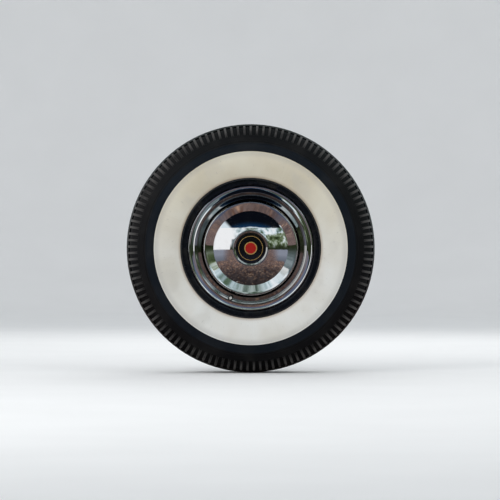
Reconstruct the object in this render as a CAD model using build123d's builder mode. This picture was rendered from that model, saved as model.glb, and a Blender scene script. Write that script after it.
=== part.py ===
import math
import os

from build123d import *

# Rear wheel of a 1950s car on its axle end, in millimetres.
# The axle lies along Y and the hub cap faces -Y. The origin is the centre of the
# backing plate's bolt circle, in the face that is bolted to the axle housing.
# "Across" values run along the axle from the wheel's centre plane, inboard positive.

# Rim, 15 inches by 6, rolled from sheet
bead_radius = 190.5
rim_half_width = 76.2
flange_height = 17.5
flange_reach = 10.5
flange_drop = 4.5
flange_bend = 3.5
rim_gauge = 3.0
seat_width = 20.0
seat_slope = math.tan(math.radians(5))
well_radius = 168.0
well_outboard = -40.0
well_inboard = -6.0
ledge_inboard = 44.0

# Tyre, 8.20-15 with a whitewall
tyre_radius = 372.0
section_half = 108.0
widest_radius = 288.0
tread_half = 74.0
crown_arc = 300.0
groove_inner = 20.0
groove_outer = 50.0
groove_width = 7.0
groove_depth = 8.0
flank_chords = 2
wall_gauge = 12.0
bead_gauge = 18.0
bead_lean = 2.0
bead_rest = 0.1
heel_cut = 4.5
flange_gap = 0.6
white_depth = 3.0
white_proud = 0.6
white_start = 2.2

# Wheel disc, pressed from plate and fixed in the rim's well
disc_face = -13.0
disc_gauge = 4.0
pad_radius = 84.0
cone_radius = 106.0
crown_across = -70.0
ledge_radius = 134.0
ledge_depth = 17.0
disc_foot = 26.0
slot_count = 8
slot_length = 40.0
slot_width = 13.0
nub_count = 4
nub_foot = 5.0
nub_top = 2.2
nub_root = 1.0
nub_proud = 4.2

# Hub cap, pressed from chromed sheet, snapped over the disc's nubs
cap_gauge = 0.9
cap_snap = 0.5
cap_overhang = 9.0
cap_behind_nub = 3.5
cap_skirt = 14.0
cap_crest_in = 6.0
cap_crest_out = 5.0
cap_cone_width = 26.0
cap_cone_drop = 9.0
dome_arc = 175.0
dome_chords = 4

# Medallion in the cap's middle
bezel_radius = 53.0
bezel_height = 5.5
bezel_shoulder = 1.5
bezel_inner_height = 2.8
medallion_radius = 45.0
medallion_height = 2.6
medallion_dome = 1.2
medallion_flat = 27.0
trim_clearance = 0.1

# Trim ring between the cap and the rim
ring_gauge = 0.8
ring_clearance = 0.3
ring_skirt = 8.0
ring_lip_rise = 0.7
ring_bead_rise = 3.0
ring_bead_flat = 2.0
ring_bead_side = 2.2
ring_foot_rise = 1.7
ring_crest_out = 3.7
ring_crest_rise = 4.8
ring_valley_in = 5.3
ring_valley_drop = 6.0
ring_edge_from_cap = 3.5
ring_edge_rise = 3.0
ring_turn = 8.0
ring_turn_lean = 0.5

# Valve
valve_angle = -112.0
valve_from_cap = 17.0
valve_radius = 6.8
valve_reach = 83.0
valve_elbow = -63.0
valve_bend = 7.0
valve_hole_clearance = 0.2
valve_cap_radius = 4.2
valve_cap_height = 6.0

# Studs, nuts and the bolt circle of the wheel
stud_circle_radius = 63.5
stud_count = 5
stud_radius = 6.35
stud_head_radius = 9.5
stud_head_height = 5.0
stud_tip = 3.0
hole_clearance = 0.4
thread_clearance = 0.05
nut_flats = 19.0
nut_height = 14.0
nut_cone = 4.0
nut_cone_above = 2.0
nut_taper = 30.0

# Brake drum, cast iron, 11 inches
drum_bore = 139.7
drum_wall = 8.3
drum_web = 7.0
drum_width = 68.0
drum_corner = 10.0
fin_height = 4.0
fin_width = 5.0
fin_count = 3
fin_pitch = 15.0
drum_pilot_clearance = 0.2
running_gap = 5.0

# Half-shaft, forged with its flange
pilot_radius = 35.0
pilot_out = 9.0
flange_radius = 80.0
flange_thickness = 12.0
hub_radius = 36.0
hub_length = 34.0
shoulder_radius = 24.0
bearing_seat = 20.0
shaft_radius = 16.5
shaft_taper = 34.0
shaft_length = 634.0
shaft_chamfer = 3.0
spline_radius = 17.5
spline_length = 52.0
spline_lead = 6.0
spline_teeth = 24
spline_depth = 1.6

# Wheel bearing and its pressed-on collar
bearing_radius = 40.0
bearing_width = 18.0
inner_ring_radius = 26.5
shield_radius = 35.0
shield_recess = 0.8
shield_gap = 0.05
collar_radius = 27.0
collar_width = 14.0
ring_chamfer = 1.0
bore_chamfer = 0.8

# Backing plate and the retainer that is bolted through it
plate_gauge = 3.0
plate_dish = 3.0
plate_flat = 68.0
plate_bore_clearance = 0.3
plate_bead_radius = 82.0
plate_bead_half = 2.5
plate_bead_slope = 3.0
shroud_depth = 10.0
mount_circle_radius = 55.0
mount_count = 4
mount_hole = 5.5
retainer_side = 100.0
retainer_corner = 14.0
retainer_thickness = 6.0
retainer_spigot = 38.0

# Brake pieces that show on the backing plate
cylinder_below_anchor = 26.0
cylinder_radius = 14.0
cylinder_length = 60.0
cylinder_foot = 10.0
cylinder_pad = 12.0
cylinder_spigot = 11.0
spigot_out = 4.0
bolt_offset = 23.0
bolt_flats = 10.0
bolt_head = 5.0
bolt_radius = 3.0
port_offset = 5.5
inlet_flats = 9.5
inlet_height = 12.0
bleeder_flats = 7.0
bleeder_height = 6.0
bleeder_nipple = 9.0
nipple_radius = 2.6
anchor_in_drum = 12.7
anchor_radius = 6.0
anchor_length = 30.0
anchor_flats = 19.0
anchor_nut_height = 8.0
plug_height = -118.0
plug_length = 30.0
plug_width = 12.0
plug_lip = 3.0
plug_thickness = 2.0
plug_tail = 1.0
pin_circle_radius = 116.0
pin_radius = 2.5
pin_head_radius = 7.0
pin_head_height = 1.6
pin_length = 28.0
seat_gap = 0.1

# The valve stands just outside the cap, the anchor pin just inside the drum's bore and the
# wheel cylinder below the pin
cap_radius = ledge_radius + cap_overhang
valve_circle_radius = cap_radius + valve_from_cap
anchor_height = drum_bore - anchor_in_drum
cylinder_height = anchor_height - cylinder_below_anchor

# Where the wheel's centre plane lies from the bolted face of the backing plate
drum_end = disc_face + drum_width
plate_face = drum_end + running_gap + plate_gauge + plate_dish
wheel_plane = -plate_face

# The plane for every turned or pressed section: first coordinate across, second radius
section = Plane(origin=(0, wheel_plane, 0), x_dir=(0, 1, 0), z_dir=(1, 0, 0))


def facing_out(across):
    """Plane across the axle, with X to the right, Z up and its normal outboard."""
    return Plane.XZ.offset(-(wheel_plane + across))


def eased(path, cuts):
    """A path with its inner corners cut off, each by its own length either side."""
    route = [path[0]]
    for before, corner, after, cut in zip(path, path[1:], path[2:], cuts):
        for neighbour in (before, after):
            length = math.dist(corner, neighbour)
            across = corner[0] + (neighbour[0] - corner[0]) * cut / length
            radius = corner[1] + (neighbour[1] - corner[1]) * cut / length
            route.append((across, radius))
    return route + [path[-1]]


def pressing(path, gauge):
    """Section of a pressed sheet: its path, and beside it the path moved by the gauge.

    A gauge over zero thickens the sheet to the left of the path, one under zero to the
    right.
    """
    path = [Vector(*point) for point in path]
    runs = [(after - before).normalized() for before, after in zip(path, path[1:])]
    sides = [Vector(-run.Y, run.X) for run in runs]
    moved = [path[0] + sides[0] * gauge]
    for corner, one, two in zip(path[1:], sides, sides[1:]):
        moved.append(corner + (one + two) * (gauge / (1 + one.dot(two))))
    moved.append(path[-1] + sides[-1] * gauge)
    with BuildLine() as outline:
        Polyline(*path, *reversed(moved), close=True)
    return make_face(outline.edges())


def round_points(centre, radius, start, end, count):
    """Points along an arc of a section, from one angle to another in degrees."""
    turns = [math.radians(start + (end - start) * step / count) for step in range(count + 1)]
    return [(centre[0] + radius * math.cos(t), centre[1] + radius * math.sin(t)) for t in turns]


def mirrored(points):
    """The same points on the wheel's other side, in the opposite order."""
    return [(-across, radius) for across, radius in reversed(points)]


def hexagon(flats):
    """Hexagon of a nut or a bolt head, by its size across flats."""
    return RegularPolygon(flats / 2, 6, major_radius=False)


# Rim: flange, bead seat, well, ledge, bead seat and flange in one rolled sheet
flange_top = bead_radius + flange_height
flange_edge = rim_half_width + flange_reach
toe_across = rim_half_width - seat_width
toe_radius = bead_radius - seat_width * seat_slope
valve_axis = (math.cos(math.radians(valve_angle)), math.sin(math.radians(valve_angle)))
valve_plane = Plane(
    origin=(0, wheel_plane, 0),
    x_dir=(0, 1, 0),
    z_dir=(valve_axis[1], 0, -valve_axis[0]),
)
valve_root = ((-toe_across + well_outboard) / 2, (toe_radius + well_radius) / 2)
valve_path = [valve_root, (valve_elbow, valve_circle_radius), (-valve_reach, valve_circle_radius)]
valve_start = valve_plane.from_local_coords((*valve_root, 0))
valve_turn = valve_plane.from_local_coords((valve_elbow, valve_circle_radius, 0))
valve_hole = Plane(origin=valve_start, z_dir=valve_turn - valve_start)

with BuildPart() as wheel_rim:
    with BuildSketch(section):
        rim_flange = eased(
            [
                (flange_edge, flange_top - flange_drop),
                (flange_edge, flange_top),
                (rim_half_width, flange_top),
                (rim_half_width, bead_radius),
            ],
            [flange_bend, flange_bend],
        )
        pressing(
            [
                *reversed(mirrored(rim_flange)),
                (-toe_across, toe_radius),
                (well_outboard, well_radius),
                (well_inboard, well_radius),
                (ledge_inboard, toe_radius),
                (toe_across, toe_radius),
                *reversed(rim_flange),
            ],
            -rim_gauge,
        )
    revolve(axis=Axis.Y)
    with BuildSketch(valve_hole.offset(-2 * rim_gauge)):
        Circle(valve_radius + valve_hole_clearance)
    extrude(amount=4 * rim_gauge, mode=Mode.SUBTRACT)

# Tyre: crown with four grooves, two flanks and two beads round a hollow, its outboard
# flank stepped in for the white rubber. Each flank is two arcs that meet at the widest point.
flank_start = flange_top + white_start
lower_reach = section_half - flange_edge - flange_gap
lower_rise = widest_radius - flank_start
lower_arc = (lower_reach**2 + lower_rise**2) / (2 * lower_reach)
lower_turn = math.degrees(math.asin(lower_rise / lower_arc))
crown_edge = tyre_radius - crown_arc + math.sqrt(crown_arc**2 - tread_half**2)
upper_reach = section_half - tread_half
upper_rise = crown_edge - widest_radius
upper_arc = (upper_reach**2 + upper_rise**2) / (2 * upper_reach)
upper_turn = math.degrees(math.asin(upper_rise / upper_arc))


def lower_flank(depth):
    """Lower flank from the flange out to the widest point, a depth under its skin."""
    middle = (section_half - lower_arc, widest_radius)
    return round_points(middle, lower_arc - depth, -lower_turn, 0, flank_chords)


def upper_flank(depth):
    """Upper flank from the widest point to the tread's edge, a depth under its skin."""
    middle = (section_half - upper_arc, widest_radius)
    return round_points(middle, upper_arc - depth, 0, upper_turn, flank_chords)


bead = [
    (toe_across + bead_lean, toe_radius + bead_gauge),
    (toe_across, toe_radius + bead_rest),
    (rim_half_width - heel_cut, bead_radius + bead_rest),
    (rim_half_width, bead_radius + heel_cut),
    (rim_half_width, flange_top + flange_gap),
]
crown = [(tread_half / 2, tyre_radius), (-tread_half / 2, tyre_radius)]
inside = [(section_half - wall_gauge, widest_radius), upper_flank(wall_gauge)[-1]]
white_seat = mirrored(lower_flank(white_depth))
white_skin = mirrored(lower_flank(-white_proud))

with BuildPart() as tyre:
    with BuildSketch(section):
        with BuildLine():
            Polyline(
                *bead,
                *lower_flank(0),
                *upper_flank(0)[1:],
                *crown,
                *mirrored(upper_flank(0)),
                *white_seat,
                *mirrored(bead),
                *reversed(mirrored(inside)),
                *reversed(inside),
                close=True,
            )
        make_face()
        for groove in (-groove_outer, -groove_inner, groove_inner, groove_outer):
            groove_top = tyre_radius - crown_arc + math.sqrt(crown_arc**2 - groove**2)
            with Locations((groove, groove_top)):
                Rectangle(groove_width, 2 * groove_depth, mode=Mode.SUBTRACT)
    revolve(axis=Axis.Y)

# White rubber band, moulded into the step of the outboard flank and a little proud of it
with BuildPart() as whitewall:
    with BuildSketch(section):
        with BuildLine():
            Polyline(*white_skin, *reversed(white_seat), close=True)
        make_face()
    revolve(axis=Axis.Y)

# Wheel disc: bolted pad, cone, crown with nubs for the cap, slots and foot in the well
foot_radius = well_radius - rim_gauge
disc_front = disc_face - disc_gauge
pilot_hole = pilot_radius + 2 * drum_pilot_clearance
nut_seat = disc_front - nut_cone_above
cone_top = nut_flats / 2 - thread_clearance
cone_slope = cone_top - nut_cone * math.tan(math.radians(nut_taper))
slot_circle_radius = (ledge_radius + foot_radius) / 2

with BuildPart(facing_out(crown_across + disc_gauge)) as wheel_disc:
    with BuildSketch(section):
        disc_path = eased(
            [
                (disc_front, pilot_hole),
                (disc_front, pad_radius),
                (crown_across, cone_radius),
                (crown_across, ledge_radius),
                (crown_across + ledge_depth, ledge_radius),
                (well_outboard - disc_gauge, foot_radius),
                (well_outboard + disc_foot, foot_radius),
            ],
            [4.0, 5.0, 4.0, 4.0, 6.0],
        )
        pressing(disc_path, -disc_gauge)
    revolve(axis=Axis.Y)
    with BuildSketch(facing_out(0)):
        with PolarLocations(slot_circle_radius, slot_count, start_angle=360 / slot_count / 2):
            SlotOverall(slot_length, slot_width, rotation=90)
    extrude(amount=-crown_across, mode=Mode.SUBTRACT)
    with BuildSketch(facing_out(nut_seat)):
        with PolarLocations(stud_circle_radius, stud_count, start_angle=90):
            Circle(cone_top + thread_clearance)
    extrude(amount=nut_cone, dir=(0, 1, 0), taper=nut_taper, mode=Mode.SUBTRACT)
    with BuildSketch(facing_out(disc_face)):
        with PolarLocations(stud_circle_radius, stud_count, start_angle=90):
            Circle(cone_slope + thread_clearance)
    extrude(amount=disc_gauge, mode=Mode.SUBTRACT)
    with PolarLocations(ledge_radius + (nub_proud - nub_root) / 2, nub_count, start_angle=45):
        Cone(nub_foot, nub_top, nub_root + nub_proud, rotation=(0, 90, 0))

# Hub cap: rolled lip behind the nubs, skirt, crest, cone and dome with a flat middle
cap_lip = ledge_radius + nub_proud - cap_snap
cap_edge = crown_across + disc_gauge + cap_behind_nub
cap_corner = cap_edge - cap_skirt
cap_crest = cap_corner - cap_crest_out
crest_radius = cap_radius - cap_crest_in
cone_foot = crest_radius - cap_cone_width
cone_valley = cap_crest + cap_cone_drop
dome_centre = cone_valley + math.sqrt(dome_arc**2 - cone_foot**2)
pad_across = dome_centre - math.sqrt(dome_arc**2 - bezel_radius**2)
cone_turn = math.degrees(math.asin(cone_foot / dome_arc))
pad_turn = math.degrees(math.asin(bezel_radius / dome_arc))

cap_dome = round_points((dome_centre, 0), -dome_arc, -cone_turn, -pad_turn, dome_chords)

with BuildPart() as hub_cap:
    with BuildSketch(section):
        pressing(
            [
                (cap_edge, cap_lip),
                (cap_edge, cap_radius),
                (cap_corner, cap_radius),
                (cap_crest, crest_radius),
                *cap_dome,
                (pad_across, 0),
            ],
            cap_gauge,
        )
    revolve(axis=Axis.Y)

# Bezel, a ring on the cap's flat middle that slopes inwards to the enamelled medallion
with BuildPart() as cap_bezel:
    with BuildSketch(section):
        with BuildLine():
            foot = Line((pad_across, medallion_radius), (pad_across, bezel_radius))
            Polyline(
                foot @ 1,
                (pad_across - bezel_height / 2, bezel_radius),
                (pad_across - bezel_height, bezel_radius - bezel_shoulder),
                (pad_across - bezel_inner_height, medallion_radius),
                foot @ 0,
            )
        make_face()
    revolve(axis=Axis.Y)

with BuildPart() as cap_medallion:
    with BuildSketch(section):
        with BuildLine():
            Polyline(
                (pad_across - medallion_height - medallion_dome, 0),
                (pad_across, 0),
                (pad_across, medallion_radius - trim_clearance),
                (pad_across - medallion_height, medallion_radius - trim_clearance),
                (pad_across - medallion_height - medallion_dome, medallion_flat),
                close=True,
            )
        make_face()
    revolve(axis=Axis.Y)

# Trim ring: skirt inside the rim's mouth, rolled bead, broad face, crest, valley and
# turned-in edge
ring_lip = bead_radius - rim_gauge - ring_skirt * seat_slope - ring_clearance
ring_edge = cap_radius + ring_edge_from_cap
ring_crest = -rim_half_width - ring_crest_rise
ring_valley = ring_crest + ring_valley_drop
ring_inner = ring_valley - ring_edge_rise
bead_top = ring_lip - ring_bead_side
bead_foot = bead_top - ring_bead_flat - ring_bead_side
ring_middle = (bead_foot + ring_edge) / 2

with BuildPart() as trim_ring:
    with BuildSketch(section):
        ring_face = eased(
            [
                (-rim_half_width - ring_foot_rise, bead_foot),
                (ring_crest, ring_middle + ring_crest_out),
                (ring_valley, ring_middle - ring_valley_in),
                (ring_inner, ring_edge),
                (ring_inner + ring_turn, ring_edge - ring_turn_lean),
            ],
            [2.0, 1.5, 1.0],
        )
        pressing(
            [
                (-rim_half_width + ring_skirt, ring_lip),
                (-rim_half_width - ring_lip_rise, ring_lip),
                (-rim_half_width - ring_bead_rise, bead_top),
                (-rim_half_width - ring_bead_rise, bead_top - ring_bead_flat),
                *ring_face,
            ],
            ring_gauge,
        )
    revolve(axis=Axis.Y)
    with BuildSketch(facing_out(0)):
        with Locations((valve_circle_radius * valve_axis[0], valve_circle_radius * valve_axis[1])):
            Circle(valve_radius + valve_hole_clearance)
    extrude(amount=2 * rim_half_width, mode=Mode.SUBTRACT)

# Valve: rubber stem from the hole in the rim's well out through the trim ring
with BuildPart() as valve_stem:
    with BuildLine(valve_plane) as route:
        Polyline(*eased(valve_path, [valve_bend]))
    with BuildSketch(Plane(origin=route.line @ 0, z_dir=route.line % 0)):
        Circle(valve_radius)
    sweep(transition=Transition.RIGHT)

with BuildPart() as valve_cap:
    with BuildSketch(Plane(origin=route.line @ 1, z_dir=(0, -1, 0))):
        Circle(valve_cap_radius)
    extrude(amount=valve_cap_height)
    chamfer(valve_cap.faces().sort_by(Axis.Y)[0].edges(), valve_cap_radius / 4)

# Half-shaft: pilot, flange, tapered hub, bearing seat, long shaft and splined end
flange_back = disc_face + drum_web + flange_thickness
collar_end = plate_face + bearing_width + collar_width
shaft_end = plate_face + shaft_length
pilot_end = disc_front - pilot_out

with BuildPart() as half_shaft:
    with BuildSketch(section):
        with BuildLine():
            Polyline(
                (pilot_end, 0),
                (pilot_end, pilot_radius - shaft_chamfer),
                (pilot_end + shaft_chamfer, pilot_radius),
                (disc_face + drum_web, pilot_radius),
                (disc_face + drum_web, flange_radius),
                (flange_back, flange_radius),
                (flange_back, hub_radius),
                (flange_back + hub_length, shoulder_radius),
                (plate_face, shoulder_radius),
                (plate_face, bearing_seat),
                (collar_end, bearing_seat),
                (collar_end + shaft_taper, shaft_radius),
                (shaft_end - spline_length - spline_lead, shaft_radius),
                (shaft_end - spline_length, spline_radius),
                (shaft_end - shaft_chamfer, spline_radius),
                (shaft_end, spline_radius - shaft_chamfer),
                (shaft_end, 0),
                close=True,
            )
        make_face()
    revolve(axis=Axis.Y)
    with BuildSketch(facing_out(flange_back)):
        with PolarLocations(stud_circle_radius, stud_count, start_angle=90):
            Circle(stud_radius + thread_clearance)
    extrude(amount=flange_thickness, mode=Mode.SUBTRACT)
    tooth_pitch = 2 * math.pi * spline_radius / spline_teeth
    with BuildSketch(facing_out(shaft_end)):
        with PolarLocations(spline_radius, spline_teeth):
            Rectangle(2 * spline_depth, tooth_pitch / 2)
    extrude(amount=spline_length, mode=Mode.SUBTRACT)

# Bearing: inner ring and collar pressed on the shaft, outer ring with its dust shields
with BuildPart() as bearing_inner_ring:
    with BuildSketch(facing_out(plate_face)):
        Circle(inner_ring_radius)
        Circle(bearing_seat, mode=Mode.SUBTRACT)
    extrude(amount=-bearing_width)
    chamfer(bearing_inner_ring.edges().filter_by(GeomType.CIRCLE).sort_by(SortBy.RADIUS)[:2], bore_chamfer)

with BuildPart() as bearing_collar:
    with BuildSketch(facing_out(plate_face + bearing_width)):
        Circle(collar_radius)
        Circle(bearing_seat, mode=Mode.SUBTRACT)
    extrude(amount=-collar_width)
    chamfer(bearing_collar.edges().group_by(Axis.Y)[-1].sort_by(SortBy.RADIUS)[-1], ring_chamfer)

with BuildPart() as bearing_outer_ring:
    with BuildSketch(facing_out(plate_face)):
        Circle(bearing_radius)
        Circle(inner_ring_radius + shield_gap, mode=Mode.SUBTRACT)
    extrude(amount=-bearing_width)
    with BuildSketch(facing_out(plate_face + bearing_width)):
        Circle(shield_radius)
        Circle(inner_ring_radius, mode=Mode.SUBTRACT)
    extrude(amount=shield_recess, mode=Mode.SUBTRACT)
    rims = bearing_outer_ring.edges().filter_by(GeomType.CIRCLE).group_by(SortBy.RADIUS)[-1]
    chamfer(rims, ring_chamfer)

# Brake drum: web clamped between flange and disc, finned wall and open end
drum_outer = drum_bore + drum_wall
fin_radius = drum_outer + fin_height

with BuildPart() as brake_drum:
    with BuildSketch(section):
        with BuildLine():
            Polyline(
                (disc_face, pilot_radius + drum_pilot_clearance),
                (disc_face, drum_outer - drum_corner),
                (disc_face + drum_corner, drum_outer),
                (drum_end, drum_outer),
                (drum_end, drum_bore),
                (disc_face + drum_web, drum_bore),
                (disc_face + drum_web, pilot_radius + drum_pilot_clearance),
                close=True,
            )
        make_face()
        for fin in range(fin_count):
            with Locations((drum_end - fin_width / 2 - fin * fin_pitch, drum_outer)):
                Rectangle(fin_width, 2 * fin_height)
    revolve(axis=Axis.Y)
    with BuildSketch(facing_out(disc_face + drum_web)):
        with PolarLocations(stud_circle_radius, stud_count, start_angle=90):
            Circle(stud_radius + hole_clearance)
    extrude(amount=drum_web, mode=Mode.SUBTRACT)

# Wheel studs, pressed in from behind the flange, and the nuts with their cone seats
with BuildPart() as wheel_studs:
    with BuildSketch(facing_out(flange_back)):
        with PolarLocations(stud_circle_radius, stud_count, start_angle=90):
            Circle(stud_head_radius)
    extrude(amount=-stud_head_height)
    with BuildSketch(facing_out(flange_back)):
        with PolarLocations(stud_circle_radius, stud_count, start_angle=90):
            Circle(stud_radius)
    extrude(amount=flange_back - nut_seat + nut_height + stud_tip)

with BuildPart() as lug_nuts:
    with BuildSketch(facing_out(nut_seat)):
        with PolarLocations(stud_circle_radius, stud_count, start_angle=90):
            hexagon(nut_flats)
    extrude(amount=nut_height)
    with BuildSketch(facing_out(nut_seat)):
        with PolarLocations(stud_circle_radius, stud_count, start_angle=90):
            Circle(cone_top)
    extrude(amount=nut_cone, dir=(0, 1, 0), taper=nut_taper)
    with BuildSketch(facing_out(nut_seat + nut_cone)):
        with PolarLocations(stud_circle_radius, stud_count, start_angle=90):
            Circle(stud_radius + thread_clearance)
    extrude(amount=nut_height + nut_cone, mode=Mode.SUBTRACT)

# Backing plate: flat for the bolts, stiffening bead and a shroud over the drum's end
plate_front = plate_face - plate_gauge
dish_front = plate_front - plate_dish
shroud_radius = fin_radius + running_gap
bead_inner = plate_bead_radius - plate_bead_half
bead_outer = plate_bead_radius + plate_bead_half

with BuildPart() as backing_plate:
    with BuildSketch(section):
        pressing(
            [
                (plate_front, bearing_radius + plate_bore_clearance),
                (plate_front, plate_flat),
                (dish_front, plate_flat + plate_bead_slope),
                (dish_front, bead_inner - plate_bead_slope),
                (dish_front - plate_dish, bead_inner),
                (dish_front - plate_dish, bead_outer),
                (dish_front, bead_outer + plate_bead_slope),
                (dish_front, shroud_radius),
                (dish_front - shroud_depth, shroud_radius),
            ],
            -plate_gauge,
        )
    revolve(axis=Axis.Y)
    with BuildSketch(facing_out(plate_face)):
        with PolarLocations(mount_circle_radius, mount_count, start_angle=45):
            Circle(mount_hole)
        with Locations((0, cylinder_height)):
            Circle(cylinder_spigot + seat_gap)
            with Locations((bolt_offset, 0), (-bolt_offset, 0)):
                Circle(bolt_radius + seat_gap)
        with Locations((0, anchor_height)):
            Circle(anchor_radius + seat_gap)
        with Locations((0, plug_height)):
            SlotOverall(plug_length, plug_width)
        with Locations((pin_circle_radius, 0), (-pin_circle_radius, 0)):
            Circle(pin_radius + seat_gap)
    extrude(amount=shroud_depth, mode=Mode.SUBTRACT)

# Bearing retainer: square plate with a spigot that bears on the outer ring
with BuildPart() as bearing_retainer:
    with BuildSketch(facing_out(plate_front)):
        RectangleRounded(retainer_side, retainer_side, retainer_corner)
        with PolarLocations(mount_circle_radius, mount_count, start_angle=45):
            Circle(mount_hole, mode=Mode.SUBTRACT)
    extrude(amount=retainer_thickness)
    with BuildSketch(facing_out(plate_face)):
        Circle(retainer_spigot)
    extrude(amount=plate_gauge)
    with BuildSketch(facing_out(plate_face)):
        Circle(shoulder_radius + running_gap)
    extrude(amount=plate_gauge + retainer_thickness, mode=Mode.SUBTRACT)

# Wheel cylinder: body across the top of the plate, its spigot out through the plate
plate_back = dish_front + plate_gauge
cylinder_middle = dish_front - cylinder_foot - cylinder_radius / 2

with BuildPart() as wheel_cylinder:
    with BuildSketch(Plane.YZ.offset(-cylinder_length / 2)):
        with Locations((wheel_plane + cylinder_middle, cylinder_height)):
            Circle(cylinder_radius)
    extrude(amount=cylinder_length)
    with BuildSketch(facing_out(dish_front)):
        with Locations((0, cylinder_height)):
            Rectangle(cylinder_length, 2 * cylinder_pad)
    extrude(amount=cylinder_foot)
    with BuildSketch(facing_out(plate_back + spigot_out)):
        with Locations((0, cylinder_height)):
            Circle(cylinder_spigot)
    extrude(amount=plate_gauge + spigot_out)

with BuildPart() as cylinder_bolts:
    for offset_side in (-bolt_offset, bolt_offset):
        with BuildSketch(facing_out(plate_back)):
            with Locations((offset_side, cylinder_height)):
                hexagon(bolt_flats)
        extrude(amount=-bolt_head)
        with BuildSketch(facing_out(plate_back)):
            with Locations((offset_side, cylinder_height)):
                Circle(bolt_radius)
        extrude(amount=plate_gauge - seat_gap)

port_face = plate_back + spigot_out
with BuildPart() as brake_inlet:
    with BuildSketch(facing_out(port_face)):
        with Locations((-port_offset, cylinder_height)):
            hexagon(inlet_flats)
    extrude(amount=-inlet_height)
    with BuildSketch(facing_out(port_face + inlet_height)):
        with Locations((-port_offset, cylinder_height)):
            Circle(bolt_radius)
    extrude(amount=inlet_height / 2, mode=Mode.SUBTRACT)

with BuildPart() as bleeder_screw:
    with BuildSketch(facing_out(port_face)):
        with Locations((port_offset, cylinder_height)):
            hexagon(bleeder_flats)
    extrude(amount=-bleeder_height)
    with BuildSketch(facing_out(port_face + bleeder_height)):
        with Locations((port_offset, cylinder_height)):
            Circle(nipple_radius)
    extrude(amount=-bleeder_nipple)

# Anchor pin for the shoes, its nut, the adjuster's rubber plug and the hold-down pins
with BuildPart() as anchor_pin:
    with BuildSketch(facing_out(plate_back + anchor_nut_height)):
        with Locations((0, anchor_height)):
            Circle(anchor_radius)
    extrude(amount=anchor_nut_height + plate_gauge + anchor_length)

with BuildPart() as anchor_nut:
    with BuildSketch(facing_out(plate_back)):
        with Locations((0, anchor_height)):
            hexagon(anchor_flats)
            Circle(anchor_radius + thread_clearance, mode=Mode.SUBTRACT)
    extrude(amount=-anchor_nut_height)

with BuildPart() as adjuster_plug:
    with BuildSketch(facing_out(plate_back)):
        with Locations((0, plug_height)):
            SlotOverall(plug_length + 2 * plug_lip, plug_width + 2 * plug_lip)
    extrude(amount=-plug_thickness)
    with BuildSketch(facing_out(plate_back)):
        with Locations((0, plug_height)):
            SlotOverall(plug_length - 2 * seat_gap, plug_width - 2 * seat_gap)
    extrude(amount=plate_gauge + plug_tail)

with BuildPart() as holddown_pins:
    with BuildSketch(facing_out(plate_back)):
        with Locations((pin_circle_radius, 0), (-pin_circle_radius, 0)):
            Circle(pin_head_radius)
    extrude(amount=-pin_head_height)
    with BuildSketch(facing_out(plate_back)):
        with Locations((pin_circle_radius, 0), (-pin_circle_radius, 0)):
            Circle(pin_radius)
    extrude(amount=plate_gauge + pin_length)

pieces = {
    "tyre": tyre,
    "whitewall": whitewall,
    "wheel_rim": wheel_rim,
    "wheel_disc": wheel_disc,
    "trim_ring": trim_ring,
    "hub_cap": hub_cap,
    "cap_bezel": cap_bezel,
    "cap_medallion": cap_medallion,
    "valve_stem": valve_stem,
    "valve_cap": valve_cap,
    "wheel_studs": wheel_studs,
    "lug_nuts": lug_nuts,
    "brake_drum": brake_drum,
    "half_shaft": half_shaft,
    "bearing_inner_ring": bearing_inner_ring,
    "bearing_collar": bearing_collar,
    "bearing_outer_ring": bearing_outer_ring,
    "bearing_retainer": bearing_retainer,
    "backing_plate": backing_plate,
    "wheel_cylinder": wheel_cylinder,
    "cylinder_bolts": cylinder_bolts,
    "brake_inlet": brake_inlet,
    "bleeder_screw": bleeder_screw,
    "anchor_pin": anchor_pin,
    "anchor_nut": anchor_nut,
    "adjuster_plug": adjuster_plug,
    "holddown_pins": holddown_pins,
}
os.makedirs("parts", exist_ok=True)
for label, piece in pieces.items():
    piece.part.label = label
    export_step(piece.part, f"parts/{label}.step")
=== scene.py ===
import math

import bmesh
import bpy
from mathutils import Matrix, Vector


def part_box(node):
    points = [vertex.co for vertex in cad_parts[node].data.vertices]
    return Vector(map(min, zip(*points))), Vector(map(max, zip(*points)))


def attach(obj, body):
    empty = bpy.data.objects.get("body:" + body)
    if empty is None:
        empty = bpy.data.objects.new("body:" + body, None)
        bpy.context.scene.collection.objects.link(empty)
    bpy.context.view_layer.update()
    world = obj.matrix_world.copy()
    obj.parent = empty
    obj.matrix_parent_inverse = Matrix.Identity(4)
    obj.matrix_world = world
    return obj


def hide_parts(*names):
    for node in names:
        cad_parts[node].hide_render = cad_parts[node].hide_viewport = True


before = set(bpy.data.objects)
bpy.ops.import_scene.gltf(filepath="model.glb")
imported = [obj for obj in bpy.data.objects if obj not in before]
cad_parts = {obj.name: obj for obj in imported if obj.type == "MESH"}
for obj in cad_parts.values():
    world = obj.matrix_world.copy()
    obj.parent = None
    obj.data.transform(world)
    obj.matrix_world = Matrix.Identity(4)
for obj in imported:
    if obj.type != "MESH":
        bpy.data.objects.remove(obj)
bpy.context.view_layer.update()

# Camera: level with the axle and square to the wheel, far off as with a long lens, so that
# a frame of 500 by 500 spans 1.501 m in the wheel's middle plane.
tyre_low, tyre_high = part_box("tyre")
wheel_y = (tyre_low.y + tyre_high.y) / 2
frame_span = 1.501
frame_pixels = 500
hub_pixel = (250.7, 248.2)
camera_distance = 9.5
sensor = 36.0

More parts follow.
